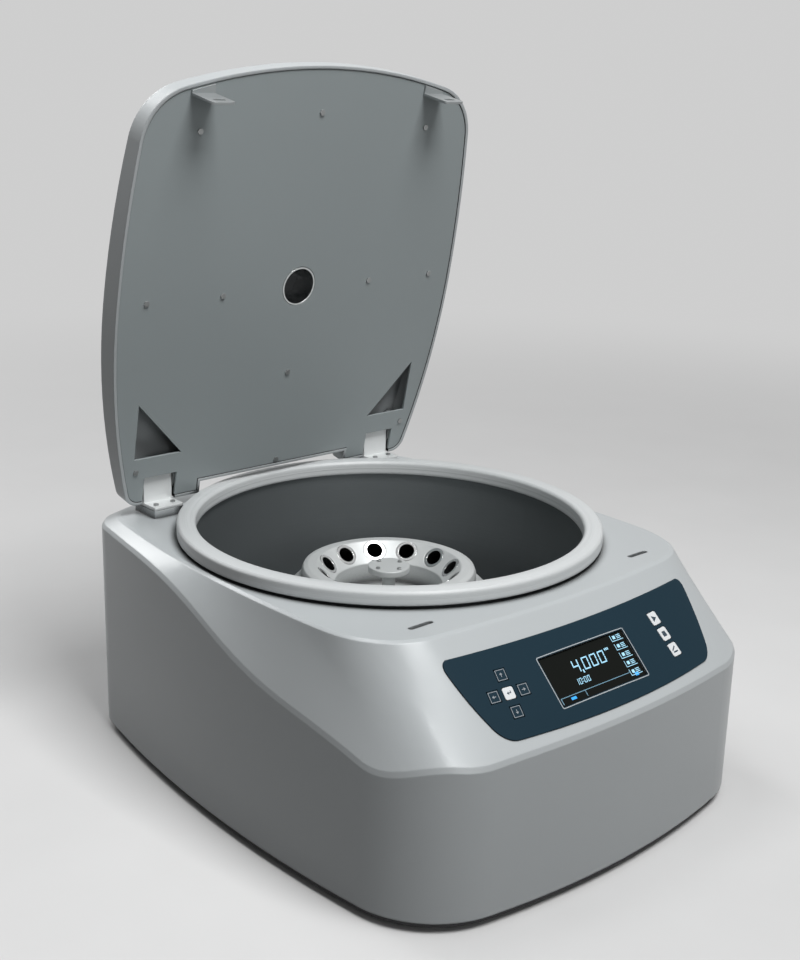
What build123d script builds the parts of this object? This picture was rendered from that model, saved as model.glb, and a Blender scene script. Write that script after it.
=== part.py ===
from build123d import *
import math
import os

os.makedirs("parts", exist_ok=True)

# Clinical bench centrifuge with its lid standing open.
# Millimetres, +Z up, +X to the right seen from the front, the front faces -Y.
# The origin lies on the table, under the middle of the cabinet.

# Bowl, the size that the cabinet, the seal and the lid follow
bowl_y = 33.4
bowl_r = 158.0

# Cabinet, seen from above
side_margin = 32.2
rear_margin = 32.0
body_half = bowl_r + side_margin
body_rear = bowl_y + bowl_r + rear_margin
body_front = -body_rear
widest_y = -28.6
front_taper = 13.6
front_corner_y = 23.9
rear_taper = 28.7
front_corner_r = 75.0
rear_corner_r = 39.0
wall = 3.0

# Cabinet, heights
skirt_z = 8.0
deck_z = 186.5
flare_drop = 79.5
deck_edge = 1.8
crease_edge = 2.2

# Deck outline and the wider outline that its slopes run down to
front_shoulder = 68.3
rear_shoulder = 8.0
deck_arc_inset = 70.2
deck_arc_half = body_half - deck_arc_inset
deck_arc_bow = 7.9
deck_side_front = 19.7
deck_side_mid = 10.2
deck_side_rear = 32.7
deck_rear_inset = 75.2
deck_rear_half = body_half - deck_rear_inset
deck_corner_length = 139.4
rear_corner_length = 43.4
side_start_y = body_front + deck_corner_length
side_end_y = body_rear - rear_corner_length
flare_front = 15.5
flare_arc_inset = 45.2
flare_arc_half = body_half - flare_arc_inset
flare_arc_bow = 21.6
flare_corner_length = 113.4
flare_start_y = body_front + flare_corner_length
flare_side = (3.3, 13.8, 12.8, 68.0, 114.8)
flare_rear = 106.6
flare_rear_out = 9.8
flare_rear_half = body_half + flare_rear_out

# Bowl wall and flange, and the seal ring
bowl_wall = 1.2
bowl_floor_z = 74.0
bowl_corner = 14.0
bowl_flange_w = 7.0
bowl_flange = 1.6
bowl_hole_r = 24.0
bowl_lip_h = 5.0
deck_hole_gap = 2.3
seal_inside = 3.0
seal_w = 15.0
seal_top_z = 200.0
seal_crown = 0.7
seal_edge = 1.5
seal_edge_drop = 1.9
seal_low_z = 189.2

# Rotor
rotor_rim_r = 71.0
rotor_rim_z = 157.7
rotor_face_r = 58.7
rotor_well_r = 43.7
rotor_well_floor_z = 126.0
rotor_web = 10.0
rotor_half_wall = 11.3
rotor_skirt = 66.0
rim_round_r = 5.0
tube_count = 12
tube_turn = 1.84
tube_pitch_r = 52.0
tube_lean = 45.0
sleeve_r = 7.5
sleeve_wall = 0.8
sleeve_lip_r = 9.0
sleeve_lip = 1.0
sleeve_length = 62.0
sleeve_fit = 0.05
lip_seat = 0.6
boss_r = 16.0
boss_drop = 12.0
clamp_disc_r = 17.0
clamp_disc_z = 156.6
clamp_disc = 5.0
clamp_neck_r = 5.25
clamp_collar_r = 9.0
clamp_collar = 4.0
stub_r = 3.0
stub_length = 12.0
hub_screw_count = 4
hub_screw_pitch_r = 12.0
hub_screw_r = 1.7
hub_screw_head = 1.1

# Drive
shaft_r = 5.0
shaft_collar_r = 9.0
shaft_collar = 4.0
running_gap = 0.05
motor_r = 52.0
motor_h = 40.0
motor_wall = 3.0
nose_r = 16.0
nose_h = 6.0
motor_floor_gap = 14.0
mount_plate = 3.0
mount_plate_half = 70.0
mount_pitch = 55.0
mount_r = 9.0
gaiter_wall = 1.6
gaiter_r = 30.0

# Base
pan_gap = 0.3
pan_bottom_z = 3.0
pan_top_z = 14.0
pan_plate = 2.0
foot_r = 14.0
foot_inset = 50.2
foot_x = body_half - foot_inset
foot_front_y = -160.0
foot_rear_y = 175.0
base_screw_inset = 25.2
base_screw_x = body_half - base_screw_inset
base_screw_y = 110.0
base_screw_r = 3.5
base_screw_head = 1.5

# Control panel on the front slope
overlay_skin = 0.45
overlay_glue = 0.15
overlay_top_z = 174.0
overlay_bottom_z = 128.5
overlay_top_half = 127.5
overlay_waist = 6.5
overlay_narrow = 18.5
overlay_mid_half = overlay_top_half - overlay_waist
overlay_bottom_half = overlay_top_half - overlay_narrow
overlay_top_r = 5.0
overlay_bottom_r = 17.0
display_x = -10.4
display_z = 149.8
display_w = 87.4
display_h = 36.8
display_gap = 0.3
display_depth = 1.4
glass_t = 1.5
module_step = 3.2
module_lip = 6.0
module_t = 6.0
pad_inset = 38.1
pad_x = -overlay_top_half + pad_inset
pad_z = 150.2
pad_dx = 12.3
pad_dy = 13.3
pad_key = 8.6
row_inset = 54.5
row_x = overlay_top_half - row_inset
row_z = 150.4
row_pitch = 13.4
row_key_w = 9.8
row_key_h = 10.2
key_gap = 0.35
key_raise = 1.3
key_depth = 3.5
key_travel = 0.5
key_corner_r = 1.5
switch_size = 6.0
board_depth = 9.0
board_t = 1.6
pad_board_w = 42.0
row_board_w = 24.0
board_h = 44.0
spacer_r = 2.5
spacer_top = 5.4
seat_gap = 0.3

# Lid, flat measures taken from its back edge line
lid_open = 78.46
pivot_inset = 28.8
pivot_y = body_rear - pivot_inset
pivot_z = 209.8
pivot_up = 8.7
pivot_back = 8.5
lid_overhang = 15.6
lid_half = bowl_r + lid_overhang
lid_widest = 165.0
lid_rear_narrow = 24.6
lid_rear_half = lid_half - lid_rear_narrow
lid_rear = -4.6
lid_front_narrow = 13.1
lid_front_half = lid_half - lid_front_narrow
lid_ends = 36.0
lid_tip = 2 * bowl_r + lid_ends
lid_corner_drop = 25.0
lid_front_side = lid_tip - lid_corner_drop
lid_front_r = 48.0
lid_rear_r = 14.0
lid_notch_half = bowl_r / 2
lid_notch = 6.2
lid_wall = 2.5
lid_rim = 0.6
lid_depth = 25.0
lid_dome_r = 2600.0
lid_edge = 6.5
panel_t = 2.0
panel_gap = 0.4
port_v = 171.7
port_r = 16.5
port_wall = 1.5
port_lens_t = 3.0
corner_out_inset = 27.9
corner_in_inset = 72.8
corner_out = lid_half - corner_out_inset
corner_in = lid_half - corner_in_inset
corner_low = 37.2
corner_high = 85.3
lid_screw_r = 2.6
lid_screw_head = 1.0
lid_boss_r = 4.0
lid_screw_pairs = ((60.0, 302.4), (26.5, 170.8), (97.3, 170.5), (30.2, 25.9))
lid_screw_rows = (315.6, 94.9, 12.0)
hook_x = 115.0
hook_inset = 22.0
hook_v = lid_tip - hook_inset
hook_w = 20.0
hook_t = 2.0
hook_length = 29.0
hook_eye_w = 10.0
hook_eye_h = 5.0
hook_eye_drop = 7.5
hook_foot = 9.0
hook_eye_r = 1.5
hook_tip_r = 3.0
slot_w = 22.0
slot_t = 4.4
slot_shift = 0.7

# Hinges
hinge_inset = 39.0
hinge_x = bowl_r - hinge_inset
hinge_w = 27.0
hinge_foot_length = 22.2
hinge_front_y = pivot_y - hinge_foot_length
hinge_foot = 2.5
pedestal = 6.3
pedestal_rim = 0.5
post_front = 5.5
post_rear = 6.5
post_top = 8.8
post_notch = 2.2
notch_up = 19.3
notch_back = 16.2
pin_r = 3.0
pin_gap = 0.06
ear_t = 3.0
ear_gap = 0.5
ear_r = 6.2
pin_end = 1.0
lid_plate_v = 35.0
lid_plate_low = 20.8
hinge_screw_r = 2.4
hinge_screw_head = 1.2
hinge_screw_x = 8.0
hinge_screw_y = 7.0

# Lid latch under the deck
bolt_t = 3.0
bolt_w = 6.0
bolt_rest = 3.8
bar_rear_y = -138.5
bar_w = 6.5
bar_half = 118.0
latch_travel = 8.0
guide_x = 70.0
guide_w = 10.0
guide_wall = 2.5
slide_gap = 0.3
coil_x = 50.5
coil_w = 18.0
coil_length = 20.0
coil_h = 16.0
coil_drop = 2.5
coil_front = 12.8
strap_t = 2.2
plunger_r = 3.0
plunger_length = 15.0
arm_w = 8.0
arm_t = 3.0
arm_reach = 10.5
coil_clear = 3.0

# Back wall
inlet_inset = 70.2
inlet_x = -body_half + inlet_inset
inlet_z = 45.0
inlet_w = 28.0
inlet_h = 20.5
inlet_wall = 1.5
inlet_depth = 17.0
inlet_flange_w = 50.0
inlet_flange_h = 26.0
inlet_flange = 2.0
blade_length = 11.0
blade_w = 4.0
blade_t = 2.0
blade_side = 7.0
blade_up = 2.0
inlet_chamfer = 5.0
rocker_inset = 118.2
rocker_x = -body_half + rocker_inset
rocker_w = 13.0
rocker_h = 21.0
rocker_tilt = 8.0
frame_wall = 1.5
frame_rim = 4.0
frame_depth = 14.0
rocker_pivot_depth = 5.5
rocker_low = 5.0
rocker_dish = 3.5
rocker_back = 5.0
rocker_end_gap = 0.8
rocker_pin_r = 1.5
rocker_pin = 1.0
vent_inset = 115.2
vent_x = body_half - vent_inset
vent_z = 70.0
vent_count = 12
vent_pitch = 8.0
vent_w = 4.0
vent_h = 46.0

# Drive electronics on the base
drive_board_y = -165.0
drive_board_w = 180.0
drive_board_d = 70.0
standoff_h = 8.0
capacitor_x = -55.0
capacitor_w = 14.0
capacitor_h = 26.0
transformer_x = 60.0
transformer_w = 34.0
transformer_h = 28.0
sink_w = 30.0
sink_d = 50.0
sink_base = 4.0
sink_fin = 2.0
sink_h = 22.0


# A closed outline with curved front, side and back, drawn from its right half.
# The corners are single curves that leave both neighbours in their own direction.
def sloped_outline(z, arc_half, apex, bow, side, rear_half, rear_y):
    end = Vector(arc_half, apex + bow)
    rise = 2 * bow / arc_half
    start, after = Vector(side[0]), Vector(side[1])
    lean = (after.X - start.X) / (after.Y - start.Y)
    corner_y = (end.Y + rise * (start.X - lean * start.Y - end.X)) / (1 - rise * lean)
    corner = (start.X + lean * (corner_y - start.Y), corner_y)
    last, before = Vector(side[-1]), Vector(side[-2])
    rear_lean = (last.X - before.X) / (last.Y - before.Y)
    rear_corner = (last.X + rear_lean * (rear_y - last.Y), rear_y)
    with BuildLine(Plane.XY.offset(z)) as outline:
        Bezier((0, apex), (arc_half / 2, apex), (end.X, end.Y))
        Bezier((end.X, end.Y), corner, side[0])
        Bezier(*side)
        Bezier(side[-1], rear_corner, (rear_half, rear_y))
        Line((rear_half, rear_y), (0, rear_y))
        mirror(about=Plane.YZ)
    return Face(outline.wire())


# Control points of a side, evenly spaced from its front end to its back end.
def side_points(offsets, half, start_y):
    step = (side_end_y - start_y) / (len(offsets) - 1)
    return [(half + offset, start_y + i * step) for i, offset in enumerate(offsets)]


# Plan of the upright walls, smaller all round by the inset.
def wall_plan(inset):
    half = body_half - inset
    front = (half - front_taper, body_front + front_corner_y + inset)
    rear = (half - rear_taper, body_rear - inset)
    with BuildSketch() as plan:
        with BuildLine():
            TangentArc((0, body_front + inset), front, tangent=(1, 0))
            TangentArc((half, widest_y), front, tangent=(0, -1))
            TangentArc((half, widest_y), rear, tangent=(0, 1))
            Line(rear, (0, rear[1]))
            mirror(about=Plane.YZ)
        make_face()
        fillet(plan.vertices().filter_by(lambda v: abs(v.Y - front[1]) < inset + wall),
               front_corner_r - inset)
        fillet(plan.vertices().filter_by(lambda v: v.Y > rear[1] - wall and abs(v.X) > wall),
               rear_corner_r - inset)
    return plan.sketch


# The cabinet as a solid block, smaller all round by the inset.
def cabinet_block(inset):
    half = body_half - inset
    top_z = deck_z - inset
    low_z = top_z - flare_drop
    deck_side = (-deck_side_front, -deck_side_mid, -deck_side_rear)
    deck = sloped_outline(top_z, deck_arc_half, body_front + front_shoulder + inset,
                          deck_arc_bow, side_points(deck_side, half, side_start_y),
                          deck_rear_half - inset, body_rear - rear_shoulder - inset)
    flare = sloped_outline(low_z, flare_arc_half, body_front - flare_front + inset,
                           flare_arc_bow, side_points(flare_side, half, flare_start_y),
                           flare_rear_half - inset, body_rear + flare_rear - inset)
    with BuildPart() as slopes:
        loft([flare, deck], ruled=True)
        with BuildSketch(Plane.XY.offset(low_z)):
            Rectangle(4 * body_half, 4 * body_half)
        extrude(amount=-deck_z)
    with BuildPart() as block:
        with BuildSketch(Plane.XY.offset(skirt_z)):
            add(wall_plan(inset))
        extrude(amount=top_z - skirt_z)
        add(slopes.part, mode=Mode.INTERSECT)
    return block.part


# A plane that touches the front slope at a given place, its X level and its Z outwards.
def slope_plane(x, z):
    def surface(x, z):
        share = (deck_z - z) / flare_drop
        reach = x / (deck_arc_half + (flare_arc_half - deck_arc_half) * share)
        deck_y = body_front + front_shoulder + deck_arc_bow * reach**2
        flare_y = body_front - flare_front + flare_arc_bow * reach**2
        return Vector(x, deck_y + (flare_y - deck_y) * share, z)

    here = surface(x, z)
    across = surface(x + wall, z) - surface(x - wall, z)
    upward = surface(x, z + wall) - surface(x, z - wall)
    return Plane(here, x_dir=across, z_dir=across.cross(upward))


pad_plane = slope_plane(pad_x, pad_z)
row_plane = slope_plane(row_x, row_z)
display_plane = slope_plane(display_x, display_z)
pad_places = {
    "up": (0, pad_dy), "left": (-pad_dx, 0), "enter": (0, 0), "right": (pad_dx, 0),
    "down": (0, -pad_dy),
}
row_places = {"start": (0, row_pitch), "stop": (0, 0), "open": (0, -row_pitch)}

# The lid plane is the lid's inner face: X across, Y from the hinges to the front
# edge, Z towards the bowl.
lid_turn = math.radians(lid_open)
lid_up = Vector(0, -math.cos(lid_turn), math.sin(lid_turn))
lid_in = Vector(0, -math.sin(lid_turn), -math.cos(lid_turn))
pivot = Vector(0, pivot_y, pivot_z)
lid_plane = Plane(pivot - lid_up * pivot_up + lid_in * pivot_back, x_dir=(1, 0, 0), z_dir=lid_in)
hook_y = pivot_y - (hook_v - pivot_up)
hinge_rear_y = pivot_y + post_rear
pedestal_z = deck_z + pedestal
inlet_sizes = (inlet_w + 2 * inlet_wall, inlet_h + 2 * inlet_wall)
back_plane = Plane((0, body_rear, 0), x_dir=(-1, 0, 0), z_dir=(0, 1, 0))

# The bowl's axis, and the upright plane through it that its round parts are drawn on.
spin_axis = Axis((0, bowl_y, 0), (0, 0, 1))
section = Plane((0, bowl_y, 0), x_dir=(1, 0, 0), z_dir=(0, -1, 0))


# The cabinet shell: one moulding with upright walls, sloping shoulders all round,
# a hole for the bowl, two hook slots and the openings of the panel and the back.
with BuildPart() as casing:
    add(cabinet_block(0))
    crease = casing.edges().filter_by(
        lambda e: deck_z - flare_drop < e.center().Z < deck_z - wall
        and len([f for f in casing.faces() if e in f.edges() and abs(f.normal_at().Z) < 0.01]) == 1
    )
    chamfer(crease, crease_edge)
    chamfer(casing.faces().sort_by(Axis.Z)[-1].edges(), deck_edge)
    with BuildSketch(Plane.XY.offset(deck_z)):
        with Locations((-hinge_x, (hinge_front_y + hinge_rear_y) / 2),
                       (hinge_x, (hinge_front_y + hinge_rear_y) / 2)):
            Rectangle(hinge_w + 2 * pedestal_rim, hinge_rear_y - hinge_front_y + 2 * pedestal_rim)
    extrude(amount=pedestal)
    add(cabinet_block(wall), mode=Mode.SUBTRACT)
    with BuildSketch(Plane.XY.offset(deck_z)):
        with Locations((0, bowl_y)):
            Circle(bowl_r + bowl_wall + deck_hole_gap)
        with Locations((-hook_x, hook_y - slot_shift), (hook_x, hook_y - slot_shift)):
            SlotOverall(slot_w, slot_t)
    extrude(amount=-2 * wall, mode=Mode.SUBTRACT)
    with BuildSketch(display_plane):
        Rectangle(display_w, display_h)
    extrude(amount=3 * wall, both=True, mode=Mode.SUBTRACT)
    with BuildSketch(pad_plane):
        with Locations(*pad_places.values()):
            Rectangle(pad_key + 2 * key_gap, pad_key + 2 * key_gap)
    extrude(amount=3 * wall, both=True, mode=Mode.SUBTRACT)
    with BuildSketch(row_plane):
        with Locations(*row_places.values()):
            Rectangle(row_key_w + 2 * key_gap, row_key_h + 2 * key_gap)
    extrude(amount=3 * wall, both=True, mode=Mode.SUBTRACT)
    with BuildSketch(back_plane):
        with Locations((-inlet_x, inlet_z)):
            Rectangle(*inlet_sizes)
        with Locations((-rocker_x, inlet_z)):
            Rectangle(rocker_w + 2 * frame_wall, rocker_h + 2 * frame_wall)
        with Locations((-vent_x, vent_z)):
            with GridLocations(vent_pitch, 1, vent_count, 1):
                Rectangle(vent_w, vent_h)
    extrude(amount=-2 * wall, mode=Mode.SUBTRACT)
    with BuildSketch(back_plane):
        with Locations((-inlet_x, inlet_z)):
            Rectangle(inlet_flange_w, inlet_flange_h)
        with Locations((-rocker_x, inlet_z)):
            Rectangle(rocker_w + 2 * frame_rim, rocker_h + 2 * frame_rim)
    extrude(amount=-inlet_flange, mode=Mode.SUBTRACT)
casing.part.label = "casing"
export_step(casing.part, "parts/casing.step")

# Base pan: a shallow tray that slips inside the cabinet's lower edge.
with BuildPart() as base_pan:
    with BuildSketch(Plane.XY.offset(pan_bottom_z)):
        add(wall_plan(wall + pan_gap))
    extrude(amount=pan_top_z - pan_bottom_z)
    with BuildSketch(Plane.XY.offset(pan_bottom_z + pan_plate)):
        add(wall_plan(wall + pan_gap + pan_plate))
    extrude(amount=pan_top_z, mode=Mode.SUBTRACT)
base_pan.part.label = "base_pan"
export_step(base_pan.part, "parts/base_pan.step")

# Four rubber feet under the pan.
foot_places = [(x, y) for x in (-foot_x, foot_x) for y in (foot_front_y, foot_rear_y)]
with BuildPart() as feet:
    with BuildSketch():
        with Locations(*foot_places):
            Circle(foot_r)
    extrude(amount=pan_bottom_z)
feet.part.label = "feet"
export_step(feet.part, "parts/feet.step")

# Hexagon screws that hold the pan to the cabinet.
with BuildPart() as base_screws:
    with BuildSketch(Plane.XY.offset(pan_bottom_z)):
        with Locations(*[(x, y) for x in (-base_screw_x, base_screw_x)
                         for y in (-base_screw_y, 0, base_screw_y)]):
            RegularPolygon(base_screw_r, 6)
    extrude(amount=-base_screw_head)
base_screws.part.label = "base_screws"
export_step(base_screws.part, "parts/base_screws.step")

# Bowl: a deep drawn tub hung in the deck by its flange, with a raised lip round
# the shaft's hole.
floor_z = bowl_floor_z
under_z = floor_z - bowl_wall
flange_z = deck_z + bowl_flange
bowl_out_r = bowl_r + bowl_wall
bowl_flange_r = bowl_r + bowl_flange_w
with BuildPart() as chamber_bowl:
    with BuildSketch(section):
        with BuildLine():
            Polyline((bowl_hole_r, floor_z + bowl_lip_h), (bowl_hole_r, under_z),
                     (bowl_out_r - bowl_corner, under_z), (bowl_out_r, under_z + bowl_corner),
                     (bowl_out_r, deck_z), (bowl_flange_r, deck_z), (bowl_flange_r, flange_z),
                     (bowl_r, flange_z), (bowl_r, floor_z + bowl_corner),
                     (bowl_r - bowl_corner, floor_z), (bowl_hole_r + bowl_wall, floor_z),
                     (bowl_hole_r + bowl_wall, floor_z + bowl_lip_h), close=True)
        make_face()
    revolve(axis=spin_axis)
chamber_bowl.part.label = "chamber_bowl"
export_step(chamber_bowl.part, "parts/chamber_bowl.step")

# Seal ring on the bowl's flange, crowned on top.
seal_inner_r = bowl_r - seal_inside
seal_outer_r = seal_inner_r + seal_w
with BuildPart() as chamber_seal:
    with BuildSketch(section):
        with BuildLine():
            brim_z = seal_top_z - seal_crown
            side_z = brim_z - seal_edge_drop
            Polyline((seal_outer_r, side_z), (seal_outer_r, seal_low_z),
                     (bowl_flange_r - seal_edge, seal_low_z), (bowl_flange_r - seal_edge, flange_z),
                     (seal_inner_r, flange_z), (seal_inner_r, side_z),
                     (seal_inner_r + seal_edge, brim_z),
                     ((seal_inner_r + seal_outer_r) / 2, seal_top_z),
                     (seal_outer_r - seal_edge, brim_z), close=True)
        make_face()
    revolve(axis=spin_axis)
chamber_seal.part.label = "chamber_seal"
export_step(chamber_seal.part, "parts/chamber_seal.step")

# Rotor head: a turned cone with a 45 degree face inside its rim, a well round the
# clamp and twelve leaning tube holes that end inside its skirt.
lean = math.radians(tube_lean)
tube_z = rotor_rim_z - (rotor_face_r - tube_pitch_r) * math.tan(lean)
web_z = rotor_well_floor_z - rotor_web
outward = Vector(math.sin(lean), -math.cos(lean))
across_tube = Vector(math.cos(lean), math.sin(lean))
skirt_end = Vector(tube_pitch_r, tube_z) + outward * rotor_skirt
skirt_out = skirt_end + across_tube * rotor_half_wall
skirt_in = skirt_end - across_tube * rotor_half_wall
shoulder_z = skirt_out.Y + (skirt_out.X - rotor_rim_r) / math.tan(lean)
web_r = skirt_in.X - (web_z - skirt_in.Y) * math.tan(lean)
well_z = rotor_rim_z - (rotor_face_r - rotor_well_r) * math.tan(lean)
bore_r = shaft_r + running_gap
tube_planes = []
for i in range(tube_count):
    turn = math.radians(tube_turn + i * 360 / tube_count)
    radial = Vector(math.cos(turn), math.sin(turn), 0)
    tube_planes.append(Plane(
        Vector(0, bowl_y, tube_z) + radial * tube_pitch_r,
        x_dir=radial.cross(Vector(0, 0, 1)),
        z_dir=Vector(0, 0, 1) * math.cos(lean) - radial * math.sin(lean),
    ))
rim_cut = rim_round_r * (1 - math.cos(math.pi / 4))
with BuildPart() as rotor_head:
    with BuildSketch(section):
        with BuildLine():
            Polyline((bore_r, web_z - boss_drop), (boss_r, web_z - boss_drop), (boss_r, web_z),
                     (web_r, web_z), (skirt_in.X, skirt_in.Y), (skirt_out.X, skirt_out.Y),
                     (rotor_rim_r, shoulder_z), (rotor_rim_r, rotor_rim_z - rim_round_r),
                     (rotor_rim_r - rim_cut, rotor_rim_z - rim_cut),
                     (rotor_rim_r - rim_round_r, rotor_rim_z),
                     (rotor_face_r, rotor_rim_z), (rotor_well_r, well_z),
                     (rotor_well_r, rotor_well_floor_z), (bore_r, rotor_well_floor_z), close=True)
        make_face()
    revolve(axis=spin_axis)
    for plane in tube_planes:
        with BuildSketch(plane.offset(-lip_seat)):
            Circle(sleeve_lip_r + sleeve_fit)
        extrude(amount=rotor_half_wall, mode=Mode.SUBTRACT)
        with BuildSketch(plane):
            Circle(sleeve_r + sleeve_fit)
        extrude(amount=-(sleeve_length + seat_gap), mode=Mode.SUBTRACT)
rotor_head.part.label = "rotor_head"
export_step(rotor_head.part, "parts/rotor_head.step")

# Twelve drawn steel sleeves with a rolled lip, one in each hole.
with BuildPart() as sleeve:
    with BuildSketch(Plane.XZ):
        with BuildLine():
            lip_top = sleeve_lip - lip_seat
            bottom = -sleeve_length
            Polyline((0, bottom), (sleeve_r, bottom), (sleeve_r, -lip_seat),
                     (sleeve_lip_r, -lip_seat), (sleeve_lip_r, lip_top),
                     (sleeve_r - sleeve_wall, lip_top), (sleeve_r - sleeve_wall, bottom + sleeve_wall),
                     (0, bottom + sleeve_wall), close=True)
        make_face()
    revolve(axis=Axis.Z)
with BuildPart() as tube_sleeves:
    for plane in tube_planes:
        with Locations(plane.location):
            add(sleeve.part)
tube_sleeves.part.label = "tube_sleeves"
export_step(tube_sleeves.part, "parts/tube_sleeves.step")

# Rotor clamp: a flat disc on a thin neck that screws onto the shaft's end and
# presses the rotor down with its collar.
with BuildPart() as rotor_clamp:
    with BuildSketch(section):
        with BuildLine():
            disc_z = clamp_disc_z - clamp_disc
            collar_z = rotor_well_floor_z + clamp_collar
            stub_z = rotor_well_floor_z + stub_length + seat_gap
            Polyline((0, clamp_disc_z), (clamp_disc_r, clamp_disc_z), (clamp_disc_r, disc_z),
                     (clamp_neck_r, disc_z), (clamp_neck_r, collar_z), (clamp_collar_r, collar_z),
                     (clamp_collar_r, rotor_well_floor_z), (stub_r + running_gap, rotor_well_floor_z),
                     (stub_r + running_gap, stub_z), (0, stub_z), close=True)
        make_face()
    revolve(axis=spin_axis)
rotor_clamp.part.label = "rotor_clamp"
export_step(rotor_clamp.part, "parts/rotor_clamp.step")

# Small hexagon screws on the clamp disc.
with BuildPart() as clamp_screws:
    with BuildSketch(Plane((0, bowl_y, clamp_disc_z))):
        with PolarLocations(hub_screw_pitch_r, hub_screw_count, start_angle=tube_turn):
            RegularPolygon(hub_screw_r, 6)
    extrude(amount=hub_screw_head)
clamp_screws.part.label = "clamp_screws"
export_step(clamp_screws.part, "parts/clamp_screws.step")

# Motor shaft: collar under the rotor, thin threaded stub above it.
motor_z = pan_bottom_z + pan_plate + motor_floor_gap + mount_plate
motor_top_z = motor_z + motor_h
nose_z = motor_top_z + nose_h
rotor_seat_z = web_z - boss_drop
with BuildPart() as motor_shaft:
    with BuildSketch(section):
        with BuildLine():
            Polyline((0, motor_z + motor_wall + seat_gap), (shaft_r, motor_z + motor_wall + seat_gap),
                     (shaft_r, rotor_seat_z - shaft_collar), (shaft_collar_r, rotor_seat_z - shaft_collar),
                     (shaft_collar_r, rotor_seat_z), (shaft_r, rotor_seat_z),
                     (shaft_r, rotor_well_floor_z), (stub_r, rotor_well_floor_z),
                     (stub_r, rotor_well_floor_z + stub_length),
                     (0, rotor_well_floor_z + stub_length), close=True)
        make_face()
    revolve(axis=spin_axis)
motor_shaft.part.label = "motor_shaft"
export_step(motor_shaft.part, "parts/motor_shaft.step")

# Motor: a closed can with a nose that the shaft comes out of.
with BuildPart() as motor_housing:
    with BuildSketch(section):
        with BuildLine():
            Polyline((0, motor_z), (motor_r, motor_z), (motor_r, motor_top_z), (nose_r, motor_top_z),
                     (nose_r, nose_z), (shaft_r + running_gap, nose_z),
                     (shaft_r + running_gap, motor_z + motor_wall), (0, motor_z + motor_wall),
                     close=True)
        make_face()
    revolve(axis=spin_axis)
motor_housing.part.label = "motor_housing"
export_step(motor_housing.part, "parts/motor_housing.step")

# Steel plate under the motor, on four rubber mounts that stand on the pan.
plate_z = motor_z - mount_plate
pan_floor_z = pan_bottom_z + pan_plate
with BuildPart() as motor_plate:
    with BuildSketch(Plane((0, bowl_y, plate_z))):
        RectangleRounded(2 * mount_plate_half, 2 * mount_plate_half, mount_r)
    extrude(amount=mount_plate)
motor_plate.part.label = "motor_plate"
export_step(motor_plate.part, "parts/motor_plate.step")

with BuildPart() as motor_mounts:
    with BuildSketch(Plane((0, bowl_y, pan_floor_z))):
        with GridLocations(2 * mount_pitch, 2 * mount_pitch, 2, 2):
            Circle(mount_r)
    extrude(amount=motor_floor_gap)
motor_mounts.part.label = "motor_mounts"
export_step(motor_mounts.part, "parts/motor_mounts.step")

# Rubber gaiter that closes the gap between the motor's nose and the bowl's hole.
with BuildPart() as shaft_gaiter:
    with BuildSketch(section):
        with BuildLine():
            Polyline((nose_r + running_gap, motor_top_z + seat_gap),
                     (nose_r + gaiter_wall, motor_top_z + seat_gap),
                     (nose_r + gaiter_wall, under_z - gaiter_wall), (gaiter_r, under_z - gaiter_wall),
                     (gaiter_r, under_z), (nose_r + running_gap, under_z), close=True)
        make_face()
    revolve(axis=spin_axis)
shaft_gaiter.part.label = "shaft_gaiter"
export_step(shaft_gaiter.part, "parts/shaft_gaiter.step")

# Control overlay: a thin tinted sheet bonded to the front slope and following it.
def overlay_skin_block():
    with BuildPart() as skin:
        add(cabinet_block(-overlay_glue - overlay_skin))
        add(cabinet_block(-overlay_glue), mode=Mode.SUBTRACT)
    return skin.part


with BuildPart() as control_overlay:
    with BuildSketch(Plane.XZ.offset(-body_front - front_shoulder - deck_edge)) as overlay_shape:
        with BuildLine():
            Line((0, overlay_top_z), (overlay_top_half, overlay_top_z))
            ThreePointArc((overlay_top_half, overlay_top_z),
                          (overlay_mid_half, (overlay_top_z + overlay_bottom_z) / 2),
                          (overlay_bottom_half, overlay_bottom_z))
            Line((overlay_bottom_half, overlay_bottom_z), (0, overlay_bottom_z))
            mirror(about=Plane.YZ)
        make_face()
        corners = overlay_shape.vertices().filter_by(lambda v: abs(v.X) > 1)
        fillet(corners.filter_by(lambda v: v.Y == overlay_top_z), overlay_top_r)
        fillet(overlay_shape.vertices().filter_by(
            lambda v: abs(v.X) > 1 and v.Y == overlay_bottom_z), overlay_bottom_r)
    extrude(amount=front_shoulder)
    add(overlay_skin_block(), mode=Mode.INTERSECT)
    with BuildSketch(display_plane):
        Rectangle(display_w, display_h)
    extrude(amount=3 * wall, both=True, mode=Mode.SUBTRACT)
    with BuildSketch(pad_plane):
        with Locations(*pad_places.values()):
            Rectangle(pad_key + 2 * key_gap, pad_key + 2 * key_gap)
    extrude(amount=3 * wall, both=True, mode=Mode.SUBTRACT)
    with BuildSketch(row_plane):
        with Locations(*row_places.values()):
            Rectangle(row_key_w + 2 * key_gap, row_key_h + 2 * key_gap)
    extrude(amount=3 * wall, both=True, mode=Mode.SUBTRACT)
control_overlay.part.label = "control_overlay"
export_step(control_overlay.part, "parts/control_overlay.step")

# Eight keys: caps that stand a little proud of the overlay and press straight in.
for plane, places, width, height in (
    (pad_plane, pad_places, pad_key, pad_key),
    (row_plane, row_places, row_key_w, row_key_h),
):
    for name, place in places.items():
        with BuildPart() as key:
            with BuildSketch(plane.offset(-key_depth)):
                with Locations(place):
                    RectangleRounded(width, height, key_corner_r)
            extrude(amount=key_depth + key_raise)
        key.part.label = "key_" + name
        export_step(key.part, "parts/key_" + name + ".step")

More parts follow.
